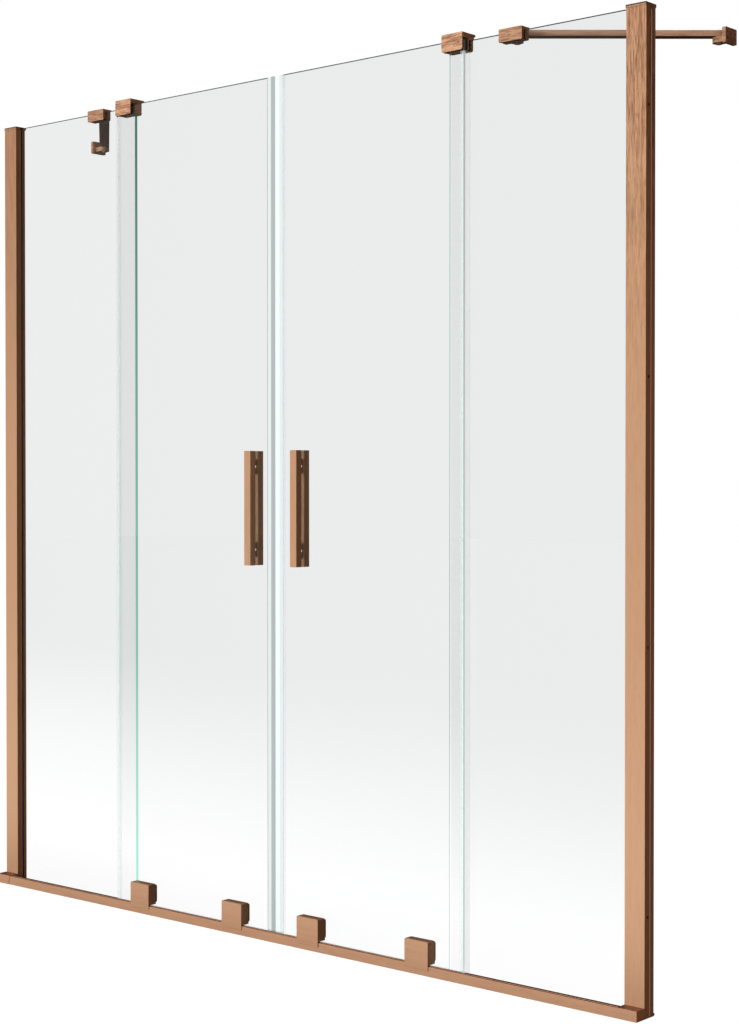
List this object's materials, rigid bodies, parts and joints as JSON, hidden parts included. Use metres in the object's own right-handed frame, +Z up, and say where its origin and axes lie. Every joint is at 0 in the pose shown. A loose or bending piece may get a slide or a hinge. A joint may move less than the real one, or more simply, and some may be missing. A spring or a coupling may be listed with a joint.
{
  "type": "sliding bath screen",
  "caption": "Framed glass screen for the long side of a recessed bath, with fixed outer panes, sliding doors that meet in the middle, square pull bars and corner bracing arms.",
  "frame": {"origin": "middle of the bottom rail's underside, straight below the front face of the wall posts", "axes": "+X along the rail from the left wall to the right wall seen from the room, +Y from the room into the bath, +Z up"},
  "size_m": [1.5, 0.2835, 1.508],
  "materials": {
    "copper": "brushed",
    "glass": "clear",
    "clear_vinyl": "satin",
    "dark_rubber": "matte",
    "steel": "satin",
    "dark_nylon": "matte",
    "wheel_nylon": "matte"
  },
  "bodies": {
    "frame": {"left_wall_channel": "copper", "right_wall_channel": "copper", "left_cover_profile": "copper", "right_cover_profile": "copper", "left_profile_cap": "copper", "right_profile_cap": "copper", "glazing_gaskets": "dark_rubber", "profile_screws": "steel", "rail_track": "copper", "rail_sill": "copper", "left_rail_end": "copper", "right_rail_end": "copper", "rail_gaskets": "dark_rubber", "left_fixed_glass": "glass", "right_fixed_glass": "glass", "left_guide_block": "copper", "right_guide_block": "copper", "guide_liners": "dark_nylon", "guide_caps": "copper", "guide_screws": "steel", "left_arm_clamp": "copper", "right_arm_clamp": "copper", "clamp_pads": "clear_vinyl", "clamp_screws": "steel"},
    "left_door": {"left_door_glass": "glass", "left_outer_seal": "clear_vinyl", "left_magnet_seal": "clear_vinyl", "left_bottom_seal": "clear_vinyl", "left_outer_handle": "copper", "left_inner_handle": "copper", "left_handle_feet": "dark_nylon", "left_handle_fixings": "steel", "left_roller_covers": "copper", "left_carriages": "dark_nylon", "left_backing_plates": "dark_nylon", "left_carriage_screws": "steel", "left_axles": "steel"},
    "left_outer_wheel": {"left_outer_wheel": "wheel_nylon"},
    "left_inner_wheel": {"left_inner_wheel": "wheel_nylon"},
    "right_door": {"right_door_glass": "glass", "right_outer_seal": "clear_vinyl", "right_magnet_seal": "clear_vinyl", "right_bottom_seal": "clear_vinyl", "right_outer_handle": "copper", "right_inner_handle": "copper", "right_handle_feet": "dark_nylon", "right_handle_fixings": "steel", "right_roller_covers": "copper", "right_carriages": "dark_nylon", "right_backing_plates": "dark_nylon", "right_carriage_screws": "steel", "right_axles": "steel"},
    "right_outer_wheel": {"right_outer_wheel": "wheel_nylon"},
    "right_inner_wheel": {"right_inner_wheel": "wheel_nylon"},
    "left_arm": {"left_arm": "copper", "left_arm_pins": "steel"},
    "left_wall_bracket": {"left_wall_bracket": "copper"},
    "right_arm": {"right_arm": "copper", "right_arm_pins": "steel"},
    "right_wall_bracket": {"right_wall_bracket": "copper"}
  },
  "joints": [
    {"name": "left_door_slide", "type": "slide", "parent": "frame", "child": "left_door", "axis": [-1, 0, 0], "range_m": [0, 0.295]},
    {"name": "left_outer_wheel_spin", "type": "hinge", "parent": "left_door", "child": "left_outer_wheel", "pos_m": [-0.331, -0.017, 0.0288], "axis": [0, -1, 0], "range_deg": [-5, 1545]},
    {"name": "left_inner_wheel_spin", "type": "hinge", "parent": "left_door", "child": "left_inner_wheel", "pos_m": [-0.091, -0.017, 0.0288], "axis": [0, -1, 0], "range_deg": [-5, 1545]},
    {"name": "right_door_slide", "type": "slide", "parent": "frame", "child": "right_door", "axis": [1, 0, 0], "range_m": [0, 0.295]},
    {"name": "right_outer_wheel_spin", "type": "hinge", "parent": "right_door", "child": "right_outer_wheel", "pos_m": [0.331, -0.017, 0.0288], "axis": [0, 1, 0], "range_deg": [-5, 1545]},
    {"name": "right_inner_wheel_spin", "type": "hinge", "parent": "right_door", "child": "right_inner_wheel", "pos_m": [0.091, -0.017, 0.0288], "axis": [0, 1, 0], "range_deg": [-5, 1545]},
    {"name": "left_arm_swivel", "type": "hinge", "parent": "frame", "child": "left_arm", "pos_m": [-0.49, 0.0365, 1.494], "axis": [0, 0, -1], "range_deg": [0, 138]},
    {"name": "left_wall_bracket_swivel", "type": "hinge", "parent": "left_arm", "child": "left_wall_bracket", "pos_m": [-0.728, 0.2435, 1.489], "axis": [0, 0, 1], "range_deg": [-135, 55]},
    {"name": "right_arm_swivel", "type": "hinge", "parent": "frame", "child": "right_arm", "pos_m": [0.49, 0.0365, 1.494], "axis": [0, 0, 1], "range_deg": [0, 138]},
    {"name": "right_wall_bracket_swivel", "type": "hinge", "parent": "right_arm", "child": "right_wall_bracket", "pos_m": [0.728, 0.2435, 1.489], "axis": [0, 0, -1], "range_deg": [-135, 55]}
  ],
  "couplings": [
    {"joint": "left_outer_wheel_spin", "follows": "left_door_slide", "rad_per_m": 90.909},
    {"joint": "left_inner_wheel_spin", "follows": "left_door_slide", "rad_per_m": 90.909},
    {"joint": "right_outer_wheel_spin", "follows": "right_door_slide", "rad_per_m": 90.909},
    {"joint": "right_inner_wheel_spin", "follows": "right_door_slide", "rad_per_m": 90.909}
  ]
}
